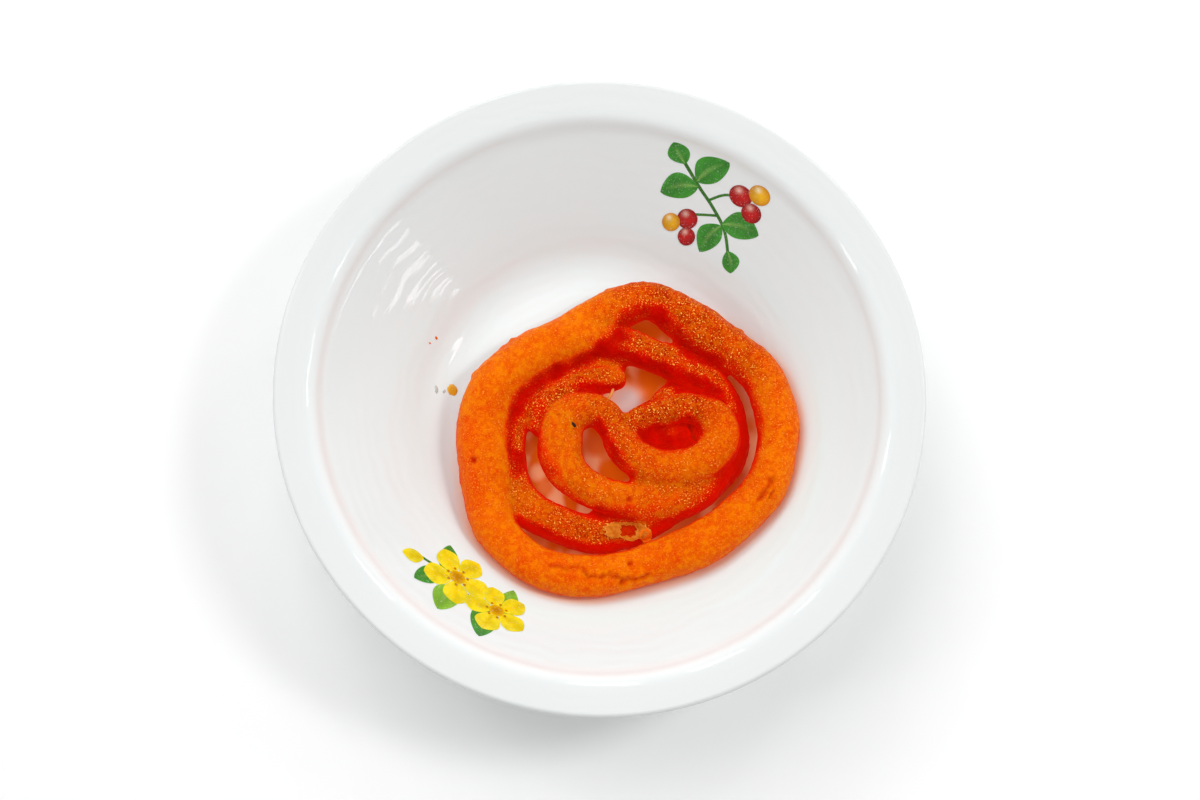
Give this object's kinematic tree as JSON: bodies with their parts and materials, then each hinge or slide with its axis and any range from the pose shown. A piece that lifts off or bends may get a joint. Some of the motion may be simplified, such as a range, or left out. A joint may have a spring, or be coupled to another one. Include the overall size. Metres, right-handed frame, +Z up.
{
  "type": "jalebi in a bowl",
  "caption": "Orange fried jalebi, a rope of batter coiled into a flat irregular spiral with fused crossings, lying in a round white bowl with a foot ring and a flared rim.",
  "frame": {"origin": "middle of the bowl's foot, on the ground", "axes": "+Z up along the bowl's axis, +X towards the side where the jalebi leans on the wall, +Y towards the jalebi's pointed end"},
  "size_m": [0.18, 0.18, 0.043],
  "materials": {
    "ware": "glossy white",
    "crust": "fried crust with a thin syrup glaze"
  },
  "bodies": {
    "root": {"bowl": "ware", "jalebi": "crust"}
  },
  "joints": []
}
